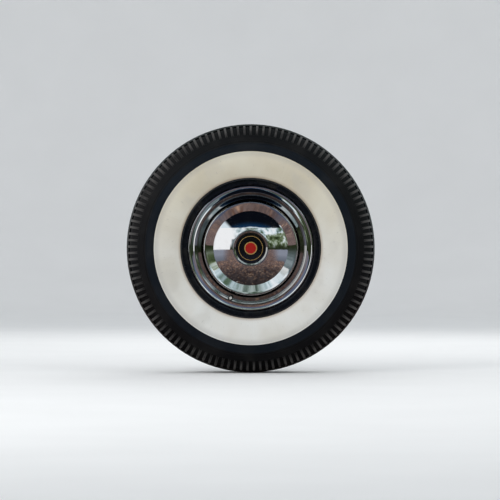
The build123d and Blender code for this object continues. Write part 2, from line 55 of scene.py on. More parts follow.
pixel_span = frame_span / frame_pixels
camera_data = bpy.data.cameras.new("camera")
camera_data.sensor_width = sensor
camera_data.lens = sensor * camera_distance / frame_span
camera_data.clip_end = 60
camera = bpy.data.objects.new("camera", camera_data)
camera.location = (
    (frame_pixels / 2 - hub_pixel[0]) * pixel_span,
    wheel_y - camera_distance,
    (hub_pixel[1] - frame_pixels / 2) * pixel_span,
)
camera.rotation_euler = (math.radians(90), 0, 0)
bpy.context.collection.objects.link(camera)
bpy.context.scene.camera = camera
bpy.context.scene.view_settings.view_transform = "Standard"


# Floor and backdrop: one pale sheet of studio paper, flat under the wheel and curved up all
# round it. Chrome doesn't see it.
def material(name, colour, roughness, metallic=0.0):
    """A new material with a plain colour and gloss, and its shader node."""
    made = bpy.data.materials.new(name)
    made.use_nodes = True
    shader = made.node_tree.nodes["Principled BSDF"]
    shader.inputs["Base Color"].default_value = (*colour, 1)
    shader.inputs["Roughness"].default_value = roughness
    shader.inputs["Metallic"].default_value = metallic
    return made, shader


def add(tree, kind, settings=None, **inputs):
    """A new node, its settings made and its inputs set to values or linked from sockets."""
    made = tree.nodes.new("ShaderNode" + kind)
    for name, value in (settings or {}).items():
        setattr(made, name, value)
    for name, value in inputs.items():
        socket = made.inputs[name.replace("_", " ")]
        if isinstance(value, bpy.types.NodeSocket):
            tree.links.new(value, socket)
        else:
            socket.default_value = value
    return made


def own_place(tree):
    """The shaded point's own place, in metres."""
    return add(tree, "TexCoord").outputs["Object"]


def noise_at(tree, scale, detail, **inputs):
    """Noise over the object's own places."""
    place = own_place(tree)
    return add(tree, "TexNoise", Vector=place, Scale=scale, Detail=detail, **inputs).outputs["Fac"]


def ramp(tree, value, *stops, blend="LINEAR"):
    """Colours along a value: each stop is a place from 0 to 1 and a colour."""
    made = add(tree, "ValToRGB", Fac=value)
    made.color_ramp.interpolation = blend
    elements = made.color_ramp.elements
    while len(elements) < len(stops):
        elements.new(1.0)
    for element, (place, colour) in zip(elements, stops):
        element.position = place
        element.color = (*colour, 1)
    return made.outputs["Color"]


def to_scene(shape, name, finish):
    """Makes the finished mesh an object of the scene, smooth but for its sharp edges."""
    mesh = bpy.data.meshes.new(name)
    shape.to_mesh(mesh)
    shape.free()
    mesh.materials.append(finish)
    mesh.shade_smooth()
    mesh.set_sharp_from_angle(angle=math.radians(35))
    made = bpy.data.objects.new(name, mesh)
    bpy.context.collection.objects.link(made)
    return made


mm = 0.001
floor_radius = 11.0
wall_height = 5.0
floor_bend = 3.0

paper, paper_shader = material("studio_paper", (0.86, 0.86, 0.85), 0.9)
paper.node_tree.links.new(
    ramp(
        paper.node_tree, noise_at(paper.node_tree, 3.0, 2.0),
        (0.3, (0.85, 0.85, 0.84)), (0.7, (0.87, 0.87, 0.86)),
    ),
    paper_shader.inputs["Base Color"],
)

sheet = bmesh.new()
corners = [
    sheet.verts.new(place)
    for place in ((0, 0, 0), (floor_radius, 0, 0), (floor_radius, 0, wall_height))
]
for pair in zip(corners, corners[1:]):
    sheet.edges.new(pair)
bmesh.ops.bevel(
    sheet, geom=[corners[1]], offset=floor_bend, offset_type="OFFSET", segments=12, profile=0.5,
    affect="VERTICES", material=-1,
)
bmesh.ops.spin(
    sheet, geom=sheet.verts[:] + sheet.edges[:], cent=(0, 0, 0), axis=(0, 0, 1),
    angle=math.tau, steps=64, use_merge=True,
)
bmesh.ops.remove_doubles(sheet, verts=sheet.verts, dist=0.1 * mm)
bmesh.ops.recalc_face_normals(sheet, faces=sheet.faces)
bmesh.ops.translate(sheet, verts=sheet.verts, vec=(0, wheel_y, tyre_low.z))
backdrop = to_scene(sheet, "backdrop", paper)
backdrop.visible_glossy = False

# Light: an even pale sky, a large soft lamp high at the left, a smaller one at the right and
# one behind for the axle's side.
world = bpy.data.worlds.new("soft_sky")
world.use_nodes = True
world.node_tree.nodes["Background"].inputs["Color"].default_value = (0.92, 0.95, 1.0, 1)
world.node_tree.nodes["Background"].inputs["Strength"].default_value = 0.75
bpy.context.scene.world = world


def soft_lamp(name, place, width, height, power):
    """A rectangular soft lamp that faces the wheel and leaves no glint in the chrome."""
    data = bpy.data.lights.new(name, "AREA")
    data.shape = "RECTANGLE"
    data.size, data.size_y = width, height
    data.energy = power
    lamp = bpy.data.objects.new(name, data)
    lamp.location = place
    to_wheel = Vector((0, wheel_y, 0)) - lamp.location
    lamp.rotation_euler = to_wheel.to_track_quat("-Z", "Y").to_euler()
    lamp.visible_glossy = False
    bpy.context.collection.objects.link(lamp)


soft_lamp("lamp_left", (-2.6, -3.2, 2.2), 2.4, 1.6, 60)
soft_lamp("lamp_right", (3.0, -2.4, 1.6), 1.4, 1.4, 22)
soft_lamp("lamp_back", (0.5, 3.5, 2.6), 2.4, 1.4, 45)


# Dark card: what the chrome sees above the wheel. It is level and black, blue along its
# ragged outboard edge and pale at its left end. It stops just short of the tyre's face, but
# for a tab that reaches into the rim's mouth.
def glow(name):
    """A material that shines by itself, with its tree and its emission node."""
    made = bpy.data.materials.new(name)
    made.use_nodes = True
    tree = made.node_tree
    tree.nodes.remove(tree.nodes["Principled BSDF"])
    shine = add(tree, "Emission")
    tree.links.new(shine.outputs[0], tree.nodes["Material Output"].inputs["Surface"])
    return made, tree, shine


def card(name, shape, finish):
    """A card that shows in reflections and nowhere else."""
    made = to_scene(shape, name, finish)
    made.visible_camera = False
    made.visible_diffuse = False
    made.visible_shadow = False
    made.visible_transmission = False


def mixed(tree, share, one, other, way="MIX"):
    """One colour turned towards another by a share."""
    return add(tree, "MixRGB", {"blend_type": way}, Fac=share, Color1=one, Color2=other).outputs[0]


def between(tree, value, low, high):
    """0 at low, 1 at high, smooth between them and steady beyond."""
    smooth = {"interpolation_type": "SMOOTHSTEP"}
    return add(tree, "MapRange", smooth, Value=value, From_Min=low, From_Max=high).outputs[0]


def worked(tree, operation, *values, kind="Math"):
    """A sum done on values or sockets, such as ADD, or on vectors where kind says so."""
    made = add(tree, kind, {"operation": operation})
    for socket, value in zip(made.inputs, values):
        if isinstance(value, bpy.types.NodeSocket):
            tree.links.new(value, socket)
        else:
            socket.default_value = value
    return made.outputs["Value" if kind == "Math" or operation == "LENGTH" else "Vector"]


def times(tree, one, other):
    """Two values multiplied."""
    return worked(tree, "MULTIPLY", one, other)


def place_along(tree, axis):
    """The shaded point's own place along one axis, in metres."""
    return add(tree, "SeparateXYZ", Vector=own_place(tree)).outputs[axis]


# Sizes of this card and of the wheel's pieces are millimetres: "across" runs along the axle
# from the wheel's middle plane, inboard positive, and "out" is the distance from the axle.
# The studio and the other cards are measured in metres.
flag_radius = 385.0
flag_out = 190.0
flag_across = 134.0
flag_front = -110.0
flag_left = -165.0
flag_left_end = -205.0
tab_half = 200.0
tab_back = -72.0

flag_paint, flag_tree, flag_shine = glow("card_black")
flag_edge = wheel_y + (flag_across - flag_radius) * mm
flag_y = place_along(flag_tree, "Y")
flag_blue = mixed(
    flag_tree, between(flag_tree, flag_y, flag_edge + 90 * mm, flag_edge + 10 * mm),
    (0.003, 0.004, 0.007, 1), (0.006, 0.035, 0.09, 1),
)
ragged_y = worked(flag_tree, "ADD", flag_y, times(flag_tree, noise_at(flag_tree, 7.0, 4.0), -60 * mm))
flag_open = worked(
    flag_tree, "MAXIMUM",
    between(flag_tree, ragged_y, flag_edge - 12 * mm, flag_edge - 28 * mm),
    between(flag_tree, place_along(flag_tree, "X"), flag_left * mm, flag_left_end * mm),
)
flag_tree.links.new(
    mixed(flag_tree, flag_open, flag_blue, (0.75, 0.85, 0.9, 1)), flag_shine.inputs["Color"]
)

flag = bmesh.new()
bmesh.ops.create_circle(
    flag, cap_ends=True, radius=flag_radius * mm, segments=96,
    matrix=Matrix.Translation((0, wheel_y + flag_across * mm, flag_out * mm)),
)
bmesh.ops.bisect_plane(
    flag, geom=flag.verts[:] + flag.edges[:] + flag.faces[:],
    plane_co=(0, wheel_y + flag_front * mm, 0), plane_no=(0, 1, 0), clear_outer=True,
)
bmesh.ops.create_grid(
    flag, x_segments=1, y_segments=1, size=0.5,
    matrix=Matrix.Translation((0, wheel_y + (flag_front + tab_back) / 2 * mm, flag_out * mm))
    @ Matrix.Diagonal((2 * tab_half * mm, (tab_back - flag_front) * mm, 1, 1)),
)
card("card_over", flag, flag_paint)


# Ground card: what the chrome sees below. It is brown litter, darkened near the wheel by
# painted shadow, with grey paving to both sides and a darker strip of it straight ahead.
def spread(tree, value, start, end, low=0.0, high=1.0):
    """A value carried from the range start to end over to the range low to high."""
    return add(
        tree, "MapRange", Value=value, From_Min=start, From_Max=end, To_Min=low, To_Max=high
    ).outputs[0]


horizon_radius = 9.0
soil_near, soil_far = 0.4, 2.4
paving_near, paving_far = 0.98, 1.15

ground_paint, ground_tree, ground_shine = glow("card_brown")
ground_place = own_place(ground_tree)
far = worked(ground_tree, "LENGTH", ground_place, kind="VectorMath")
near_to_far = spread(ground_tree, far, soil_near, soil_far)
# The litter is darkened near the wheel: painted shadow.
soil_and_shadow = ramp(
    ground_tree, near_to_far, (0.0, (0.07, 0.06, 0.058)), (0.12, (0.18, 0.148, 0.138)),
    (0.22, (0.36, 0.275, 0.24)), (1.0, (0.36, 0.29, 0.28)),
)
cells = add(ground_tree, "TexVoronoi", Vector=ground_place, Scale=38.0).outputs["Color"]
leaves = ramp(
    ground_tree, add(ground_tree, "SeparateXYZ", Vector=cells).outputs["X"],
    (0.0, (0.4, 0.38, 0.4)), (0.4, (0.6, 0.56, 0.56)), (0.65, (0.9, 0.75, 0.65)),
    (0.8, (0.45, 0.33, 0.28)), (0.92, (1.4, 1.15, 0.9)), blend="CONSTANT",
)
patches = ramp(
    ground_tree, noise_at(ground_tree, 9.0, 5.0), (0.35, (0.6, 0.6, 0.65)), (0.65, (1, 1, 1))
)
patchy_soil = mixed(ground_tree, 1.0, soil_and_shadow, patches, "MULTIPLY")
litter = mixed(ground_tree, 1.0, patchy_soil, leaves, "MULTIPLY")
paving = ramp(
    ground_tree, near_to_far, (0.3, (0.13, 0.145, 0.18)), (0.8, (0.26, 0.28, 0.34))
)
sideways = worked(
    ground_tree, "ABSOLUTE",
    worked(ground_tree, "DIVIDE", place_along(ground_tree, "X"), place_along(ground_tree, "Y")),
)
ahead = between(ground_tree, sideways, 0.45, 0.3)
ahead_or_aside = worked(ground_tree, "MAXIMUM", ahead, between(ground_tree, sideways, 0.8, 1.6))
paved = times(ground_tree, ahead_or_aside, between(ground_tree, far, paving_near, paving_far))
paving_shaded = mixed(ground_tree, ahead, paving, (0.47, 0.53, 0.66, 1), "MULTIPLY")
ground_tree.links.new(
    mixed(ground_tree, paved, litter, paving_shaded), ground_shine.inputs["Color"]
)

ground = bmesh.new()
bmesh.ops.create_circle(
    ground, cap_ends=True, radius=horizon_radius, segments=64,
    matrix=Matrix.Translation((0, 0, tyre_low.z - 2 * mm)),
)
card("card_floor", ground, ground_paint)


# Tree cards: what the chrome sees round the horizon. They are dark green from straight ahead
# over to the right, with a grey haze from ahead to the left, where the last of it turns white.
def tree_card(name, start, turn, height, scale, *stops):
    """A curved leafy card on the horizon, from one direction on over a turn, in degrees."""
    paint, tree, shine = glow(name)
    leafy = ramp(tree, noise_at(tree, scale, 5.0, Roughness=0.65), *stops)
    bare = mixed(tree, between(tree, place_along(tree, "X"), -5.35, -5.85), leafy, (1, 1, 1, 1))
    above_ground = between(tree, place_along(tree, "Z"), -0.2, 1.6)
    tree.links.new(
        mixed(tree, above_ground, (0.02, 0.028, 0.012, 1), bare), shine.inputs["Color"]
    )
    shape = bmesh.new()
    end_x = horizon_radius * math.cos(math.radians(start))
    end_y = horizon_radius * math.sin(math.radians(start))
    ends = [shape.verts.new((end_x, end_y, level)) for level in (tyre_low.z - 10 * mm, height)]
    shape.edges.new(ends)
    bmesh.ops.spin(
        shape, geom=shape.verts[:] + shape.edges[:], cent=(0, 0, 0), axis=(0, 0, 1),
        angle=math.radians(turn), steps=24,
    )
    card(name, shape, paint)


tree_card(
    "card_trees_right", -58, 63, 6.0, 0.55,
    (0.38, (0.02, 0.03, 0.012)), (0.46, (0.1, 0.14, 0.06)), (0.54, (0.3, 0.36, 0.26)),
    (0.64, (0.8, 0.88, 0.9)),
)
tree_card(
    "card_trees_ahead", -94, 38, 1.9, 1.1,
    (0.42, (0.02, 0.026, 0.012)), (0.5, (0.05, 0.065, 0.03)), (0.6, (0.12, 0.14, 0.09)),
)
tree_card(
    "card_haze", -131, 38, 2.7, 0.8,
    (0.4, (0.08, 0.11, 0.12)), (0.5, (0.15, 0.19, 0.2)), (0.6, (0.26, 0.31, 0.33)),
)

# Sky card: what the chrome sees higher up. It is pale cloud, with foliage overhead in the
# middle and plain white at the left.
sky_radius = 10.0
sky_paint, sky_tree, sky_shine = glow("card_pale")
clouds = ramp(
    sky_tree, noise_at(sky_tree, 0.55, 6.0, Roughness=0.65),
    (0.38, (0.08, 0.13, 0.08)), (0.45, (0.3, 0.4, 0.41)), (0.52, (0.62, 0.75, 0.8)),
    (0.6, (0.95, 0.98, 1.0)),
)
foliage = ramp(
    sky_tree, noise_at(sky_tree, 1.3, 5.0, Roughness=0.65),
    (0.38, (0.03, 0.05, 0.03)), (0.5, (0.15, 0.2, 0.16)), (0.62, (0.5, 0.57, 0.55)),
)
sky_x = place_along(sky_tree, "X")
overhead = between(sky_tree, worked(sky_tree, "ABSOLUTE", sky_x), 2.6, 0.8)
cloudy = mixed(sky_tree, times(sky_tree, overhead, 0.9), clouds, foliage)
sky_tree.links.new(
    mixed(sky_tree, between(sky_tree, sky_x, -3.5, -6.0), cloudy, (1, 1, 1, 1)),
    sky_shine.inputs["Color"],
)

sky = bmesh.new()
bmesh.ops.create_uvsphere(sky, u_segments=48, v_segments=24, radius=sky_radius)
bmesh.ops.bisect_plane(
    sky, geom=sky.verts[:] + sky.edges[:] + sky.faces[:], plane_co=(0, 0, tyre_low.z),
    plane_no=(0, 0, 1), clear_inner=True,
)
card("card_sky", sky, sky_paint)


# Tyre: cross-ply, moulded in black rubber, with a tread of five ribs between zigzag
# grooves, notched shoulders and fine raised rings on its flanks. One pitch of the tread is
# shaped and then repeated all round.
tyre_radius = tyre_high.z / mm
section_half = (tyre_high.y - tyre_low.y) / 2 / mm
widest = 288.0
tread_half = 74.0
crown_arc = 300.0
bead_out = 190.5
bead_across = 76.2
bead_lean = 2.0
bead_gauge = 18.0
heel_cut = 4.5
toe_across = 56.2
toe_out = 188.85
flange_top = 208.0
flange_reach = 10.5
flange_gap = 0.6
wall = 12.0
white_depth = 3.0
recess_rise = 0.4
flank_steps = 8
pitches = 117
pitch_steps = 6
flank_places = (292.0, 298.0, 304.0)
flank_rings = ((312.2, 1.5, 0.9), (319.2, 0.7, 0.4), (333.6, 0.7, 0.45))
notch_from = 337.0
notch_across = 63.0
notch_rows = 5
notch_inset = 0.7
notch_depth = 4.5
groove_places = (50.0, 20.0, -20.0, -50.0)
rib_places = (38.0, 8.0, -30.0, -60.0)
groove_half = 3.4
groove_floor_half = groove_half * 0.7
groove_near = groove_half * 1.1
groove_depth = 8.0
crown_from = 340.0
zigzag = 2.6


def begin(across, out):
    """A new outline in the wheel's section, and its first point."""
    shape = bmesh.new()
    return shape, shape.verts.new((0, wheel_y + across * mm, out * mm))


def run(shape, last, *points):
    """Carries an outline on by straight runs, and gives its last point."""
    for across, out in points:
        corner = shape.verts.new((0, wheel_y + across * mm, out * mm))
        shape.edges.new((last, corner))
        last = corner
    return last


def bend(shape, last, centre, degrees, steps):
    """Carries an outline on by an arc about a centre, and gives its last point."""
    turned = bmesh.ops.spin(
        shape, geom=[last], cent=(0, wheel_y + centre[0] * mm, centre[1] * mm),
        axis=(1, 0, 0), angle=math.radians(degrees), steps=steps,
    )
    return turned["geom_last"][0]


def round_axle(shape, steps, degrees=360.0):
    """Spins an outline about the axle, with its seam and its pole closed."""
    bmesh.ops.spin(
        shape, geom=shape.verts[:] + shape.edges[:], cent=(0, wheel_y, 0), axis=(0, 1, 0),
        angle=math.radians(degrees), steps=steps, use_merge=degrees == 360.0,
    )
    bmesh.ops.remove_doubles(shape, verts=shape.verts, dist=0.01 * mm)
    bmesh.ops.recalc_face_normals(shape, faces=shape.faces)


def arc_of(reach, rise):
    """Radius of the arc that leaves its widest point upright and passes reach in, rise up."""
    return (reach**2 + rise**2) / (2 * reach)


flange_out = flange_top + flange_gap
flange_across = bead_across + flange_reach + flange_gap
crown_edge = tyre_radius - crown_arc + math.sqrt(crown_arc**2 - tread_half**2)
upper_arc = arc_of(section_half - tread_half, crown_edge - widest)
lower_arc = arc_of(section_half - flange_across, widest - flange_out)
lower_turn = math.degrees(math.asin((widest - flange_out) / lower_arc))


def on_flank(out, lift=0.0):
    """A point of the upper flank at that radius, raised from the skin by lift."""
    middle = section_half - upper_arc
    lean = math.asin((out - widest) / upper_arc)
    reach = upper_arc + lift
    return (middle + reach * math.cos(lean), widest + reach * math.sin(lean))


def on_crown(across, depth=0.0):
    """A point of the tread's crown, or one cut down from it by depth."""
    rise = math.sqrt(crown_arc**2 - across**2)
    return (across, tyre_radius - crown_arc + rise - depth)


flank = [on_flank(out) for out in flank_places]
for ring_out, ring_half, ring_lift in flank_rings:
    flank += [
        on_flank(ring_out - ring_half - ring_lift),
        on_flank(ring_out - ring_half, ring_lift),
        on_flank(ring_out + ring_half, ring_lift),
        on_flank(ring_out + ring_half + ring_lift),
    ]
notch_step = (crown_edge - notch_from) / notch_rows
flank += [on_flank(notch_from + notch_step * row) for row in range(notch_rows)]
crown = [on_crown(tread_half), on_crown(notch_across)]
for groove, rib in zip(groove_places, rib_places):
    crown += [
        on_crown(groove + groove_half),
        on_crown(groove + groove_floor_half, groove_depth),
        on_crown(groove - groove_floor_half, groove_depth),
        on_crown(groove - groove_half),
        on_crown(rib),
    ]
crown += [on_crown(-notch_across), on_crown(-tread_half)]

tyre, last = begin(toe_across, toe_out)
last = run(
    tyre, last, (bead_across - heel_cut, bead_out), (bead_across, bead_out + heel_cut),
    (bead_across, flange_out), (flange_across, flange_out),
)
last = bend(tyre, last, (section_half - lower_arc, widest), lower_turn, flank_steps)
last = run(tyre, last, *flank, *crown, *((-across, out) for across, out in reversed(flank)))
last = run(
    tyre, last, (-section_half, widest + recess_rise), (white_depth - section_half, widest)
)
last = bend(tyre, last, (lower_arc - section_half, widest), lower_turn, flank_steps)
last = run(
    tyre, last, (-bead_across, flange_out), (-bead_across, bead_out + heel_cut),
    (heel_cut - bead_across, bead_out), (-toe_across, toe_out),
    (-toe_across - bead_lean, toe_out + bead_gauge), (wall - section_half, widest),
    (-tread_half, crown_edge - wall), (tread_half, crown_edge - wall),
    (section_half - wall, widest), (toe_across + bead_lean, toe_out + bead_gauge),
    (toe_across, toe_out),
)
pitch_angle = 360.0 / pitches
round_axle(tyre, pitch_steps, pitch_angle)


def turn_of(place):
    """How far round the axle a point lies in its pitch, from 0 to 1."""
    return math.degrees(math.atan2(place.x, place.z)) / pitch_angle


for corner in tyre.verts:
    across = (corner.co.y - wheel_y) / mm
    out = corner.co.xz.length / mm
    for groove in groove_places:
        if abs(across - groove) < groove_near and out > crown_from:
            corner.co.y += zigzag * (1 - abs(2 * turn_of(corner.co) - 1) * 2) * mm

dusty = tyre.faces.layers.float.new("dusty")
notch = []
for face in tyre.faces:
    middle = face.calc_center_median()
    out = middle.xz.length / mm
    across = abs(middle.y - wheel_y) / mm
    if out > notch_from and across > notch_across:
        if 1 / pitch_steps < turn_of(middle) < 1 - 1 / pitch_steps:
            notch.append(face)
        else:
            face[dusty] = 1.0
bmesh.ops.inset_region(
    tyre, faces=notch, thickness=notch_inset * mm, depth=-notch_depth * mm, use_even_offset=True,
)
bmesh.ops.spin(
    tyre, geom=tyre.verts[:] + tyre.edges[:] + tyre.faces[:], cent=(0, wheel_y, 0),
    axis=(0, 1, 0), angle=math.tau * (1 - 1 / pitches), steps=pitches - 1, use_duplicate=True,
)
bmesh.ops.remove_doubles(tyre, verts=tyre.verts, dist=0.03 * mm)
bmesh.ops.recalc_face_normals(tyre, faces=tyre.faces)


def from_axle(tree):
    """The way from the axle square out to the shaded point, in metres."""
    return worked(tree, "MULTIPLY", own_place(tree), (1, 0, 1), kind="VectorMath")


def out_from_axle(tree):
    """Distance of the shaded point from the axle, in metres."""
    return worked(tree, "LENGTH", from_axle(tree), kind="VectorMath")


def bumped(tree, shader, height, strength, depth):
    """Gives a shader small relief from a height."""
    made = add(tree, "Bump", Height=height, Strength=strength, Distance=depth)
    tree.links.new(made.outputs["Normal"], shader.inputs["Normal"])


rubber, rubber_shader = material("tyre_rubber", (0.006, 0.007, 0.009), 0.5)
rubber_tree = rubber.node_tree
rubber_cloud = noise_at(rubber_tree, 14.0, 5.0)
rubber_out = out_from_axle(rubber_tree)
# Inward of 310 to 316 mm the black is tinted blue: a painted sheen of the sky.
rubber_black_and_sky_sheen = ramp(
    rubber_tree, between(rubber_tree, rubber_out, 310 * mm, 316 * mm),
    (0.0, (0.004, 0.007, 0.012)), (1.0, (0.004, 0.004, 0.005)),
)
film_share = times(rubber_tree, between(rubber_tree, rubber_cloud, 0.45, 0.75), 0.2)
rubber_filmed = mixed(rubber_tree, film_share, rubber_black_and_sky_sheen, (0.03, 0.028, 0.026, 1))
worn_ribs = times(
    rubber_tree, between(rubber_tree, rubber_out, 328 * mm, 362 * mm),
    between(rubber_tree, noise_at(rubber_tree, 30.0, 2.0), 0.15, 0.55),
)
between_notches = add(rubber_tree, "Attribute", {"attribute_name": "dusty"}).outputs["Fac"]
rubber_dusty = mixed(
    rubber_tree, times(rubber_tree, between_notches, worn_ribs), rubber_filmed,
    (0.078, 0.074, 0.071, 1),
)
rubber_tree.links.new(rubber_dusty, rubber_shader.inputs["Base Color"])
rubber_tree.links.new(
    spread(rubber_tree, rubber_cloud, 0, 1, 0.4, 0.6), rubber_shader.inputs["Roughness"]
)
rubber_shader.inputs["Specular IOR Level"].default_value = 0.16
bumped(rubber_tree, rubber_shader, noise_at(rubber_tree, 900.0, 3.0), 0.25, 0.4 * mm)

tyre_piece = to_scene(tyre, "tyre_moulded", rubber)
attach(tyre_piece, "wheel")
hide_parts("tyre")

# Whitewall: a band of white rubber moulded into the outboard flank, a little proud, with
# a fine raised ring at its outer edge. It is rusty along the rim, and smudged and
# scratched. It is yellowed and darker above, partly grime and partly painted shade, and a
# band towards the tread, just inside the ring, is darkened by painted shade.
white_in = 210.3
white_proud = 0.6
white_ring_proud = 0.5
white_ring_places = (0.2, 0.6, 1.3, 1.9)
white_lip = 1.2
white_lip_drop = 0.8
white_foot_rise = 0.4
white_spare = 0.6
white_steps = 14
turn_steps = 240
white_turn = math.degrees(math.asin((widest - white_in) / (lower_arc + white_proud)))
white_middle = (lower_arc - section_half, widest)
white_skin = -section_half - white_proud
ring_start, crest_start, crest_end, ring_end = (widest - place for place in white_ring_places)

band, last = begin(white_depth - section_half, ring_start)
last = run(
    band, last, (white_skin, ring_start), (white_skin - white_ring_proud, crest_start),
    (white_skin - white_ring_proud, crest_end), (white_skin, ring_end),
)
last = bend(band, last, white_middle, white_turn - white_spare, white_steps)
foot = Vector((last.co.y - wheel_y, last.co.z)) / mm
last = run(
    band, last, (foot.x + white_lip, foot.y - white_lip_drop),
    (foot.x + white_depth, foot.y + white_foot_rise),
)
last = bend(band, last, white_middle, 2 * white_spare - white_turn, white_steps)
band.edges.new((last, band.verts[:][0]))
round_axle(band, turn_steps)

white, white_shader = material("white_rubber", (0.7, 0.69, 0.65), 0.45)
white_tree = white.node_tree
white_out = out_from_axle(white_tree)
white_spoke = worked(white_tree, "NORMALIZE", from_axle(white_tree), kind="VectorMath")
white_cloud = noise_at(white_tree, 7.0, 5.0)
white_clean = ramp(
    white_tree, white_cloud,
    (0.3, (0.58, 0.56, 0.5)), (0.5, (0.65, 0.64, 0.6)), (0.7, (0.7, 0.71, 0.69)),
)
streaks = add(white_tree, "TexNoise", Vector=white_spoke, Scale=70.0, Detail=4.0).outputs["Fac"]
white_streaked = mixed(
    white_tree, times(white_tree, between(white_tree, streaks, 0.55, 0.8), 0.12), white_clean,
    (0.6, 0.57, 0.5, 1), "MULTIPLY",
)
# Towards the top the white is yellowed and darkened: partly grime, partly painted shade.
yellowing_and_painted_shade = times(white_tree, between(white_tree, place_along(white_tree, "Z"), -0.12, 0.2), 0.8)
white_yellowed_and_shaded = mixed(white_tree, yellowing_and_painted_shade, white_streaked, (0.88, 0.8, 0.63, 1), "MULTIPLY")
rusty = times(white_tree, between(white_tree, white_out, 219 * mm, 209.5 * mm), 0.6)
white_rusty = mixed(white_tree, rusty, white_yellowed_and_shaded, (0.36, 0.27, 0.19, 1))
# A band towards the tread, darkest just inside the raised ring, is painted shade.
outer_painted_shade = times(
    white_tree, times(white_tree, between(white_tree, white_out, 266 * mm, 283.5 * mm), 0.35),
    between(white_tree, white_out, 285.6 * mm, 284.8 * mm),
)
white_outer_shaded = mixed(white_tree, outer_painted_shade, white_rusty, (0.34, 0.33, 0.31, 1))
smudges = between(white_tree, noise_at(white_tree, 11.0, 3.0), 0.55, 0.72)
white_smudged = mixed(
    white_tree, times(white_tree, smudges, 0.3), white_outer_shaded, (0.45, 0.43, 0.39, 1)
)
scratch_place = worked(
    white_tree, "ADD", white_spoke, add(white_tree, "CombineXYZ", Y=white_out).outputs[0],
    kind="VectorMath",
)
scratches = add(white_tree, "TexNoise", Vector=scratch_place, Scale=75.0, Detail=2.0).outputs["Fac"]
white_scratched = mixed(
    white_tree, times(white_tree, between(white_tree, scratches, 0.69, 0.76), 0.45),
    white_smudged, (0.25, 0.24, 0.23, 1),
)
white_tree.links.new(white_scratched, white_shader.inputs["Base Color"])
bumped(white_tree, white_shader, white_cloud, 0.15, 1 * mm)

white_piece = to_scene(band, "whitewall_band", white)
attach(white_piece, "wheel")
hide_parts("whitewall")

# Rim: rolled from 3 mm sheet steel with a dropped well and a ledge for the disc, and
# enamelled gloss black. A thin grey line along the flange's top is a painted highlight.
rim_gauge = 3.0
rim_rounding = 3.4
flange_edge = bead_across + flange_reach
flange_drop = 4.5
toe_top = 188.75
well_out = 168.0
well_outboard, well_inboard = -40.0, -6.0
ledge_inboard = 44.0
rim_path = (
    (-flange_edge, flange_top - flange_drop), (-flange_edge, flange_top),
    (-bead_across, flange_top), (-bead_across, bead_out), (-toe_across, toe_top),
    (well_outboard, well_out), (well_inboard, well_out), (ledge_inboard, toe_top),
    (toe_across, toe_top), (bead_across, bead_out), (bead_across, flange_top),
    (flange_edge, flange_top), (flange_edge, flange_top - flange_drop),
)


def rounded(shape, corners, rounding):
    """Rounds corners of an outline, a length either side of each."""
    bmesh.ops.bevel(
        shape, geom=corners, offset=rounding * mm, offset_type="OFFSET", segments=5, profile=0.5,
        affect="VERTICES", material=-1,
    )


def supported(shape):
    """Divides an outline's long runs, so that smooth shading stays near its corners."""
    long_runs = [edge for edge in shape.edges if edge.calc_length() > 3 * mm]
    bmesh.ops.subdivide_edges(shape, edges=long_runs, cuts=3)


def pressed(path, rounding, steps, gauge):
    """Sheet metal spun from a path with rounded corners, given its thickness inwards."""
    shape, last = begin(*path[0])
    run(shape, last, *path[1:])
    shape.verts.ensure_lookup_table()
    rounded(shape, shape.verts[1:-1], rounding)
    supported(shape)
    round_axle(shape, steps)
    bmesh.ops.solidify(shape, geom=shape.faces[:], thickness=gauge * mm)
    return shape


rim = pressed(rim_path, rim_rounding, turn_steps, rim_gauge)

enamel, enamel_shader = material("black_enamel", (0.006, 0.007, 0.010), 0.18)
enamel_tree = enamel.node_tree
enamel_cloud = noise_at(enamel_tree, 30.0, 6.0)
enamel_out = out_from_axle(enamel_tree)
enamel_black = ramp(
    enamel_tree, enamel_cloud, (0.5, (0.004, 0.005, 0.008)), (0.85, (0.018, 0.016, 0.014))
)
# A thin bluish grey line along the flange's top is a painted highlight.
flange_painted_highlight = times(
    enamel_tree, between(enamel_tree, enamel_out, 204.5 * mm, 206 * mm),
    between(enamel_tree, enamel_out, 208.3 * mm, 207.4 * mm),
)
enamel_tree.links.new(
    mixed(enamel_tree, times(enamel_tree, flange_painted_highlight, 0.6), enamel_black, (0.05, 0.053, 0.058, 1)),
    enamel_shader.inputs["Base Color"],
)
enamel_tree.links.new(
    spread(enamel_tree, enamel_cloud, 0, 1, 0.1, 0.35), enamel_shader.inputs["Roughness"]
)
enamel_shader.inputs["Specular IOR Level"].default_value = 0.22

rim_piece = to_scene(rim, "rim_enamelled", enamel)
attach(rim_piece, "wheel")
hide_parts("wheel_rim")


# Disc: pressed from 4 mm plate with cooling slots, riveted in the rim's well, enamelled
# with the rim. It shows only from behind.
def dress(finish, *names):
    """Gives CAD nodes a finish."""
    for name in names:
        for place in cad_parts[name].material_slots:
            place.material = finish


dress(enamel, "wheel_disc")

# Trim ring: pressed from thin stainless steel, polished, its skirt sprung into the rim's
# mouth, with a broad face, a rounded crest and a turned-in inner edge. The chrome is painted
# nearly black round the gap between ring and cap, and darker in the ring's trough, as
# painted shade.
ring_gauge = 0.8
ring_rounding = 0.95
chrome_steps = 320
ring_path = (
    (-68.2, 186.5), (-76.9, 186.5), (-79.2, 184.3), (-79.2, 182.3), (-77.9, 180.1), (-78.2, 175.5),
    (-79.0, 170.5), (-81.0, 167.0), (-77.8, 162.0), (-75.2, 159.8), (-75.2, 157.4), (-78.0, 146.5),
    (-70.0, 146.0),
)
ring = pressed(ring_path, ring_rounding, chrome_steps, ring_gauge)

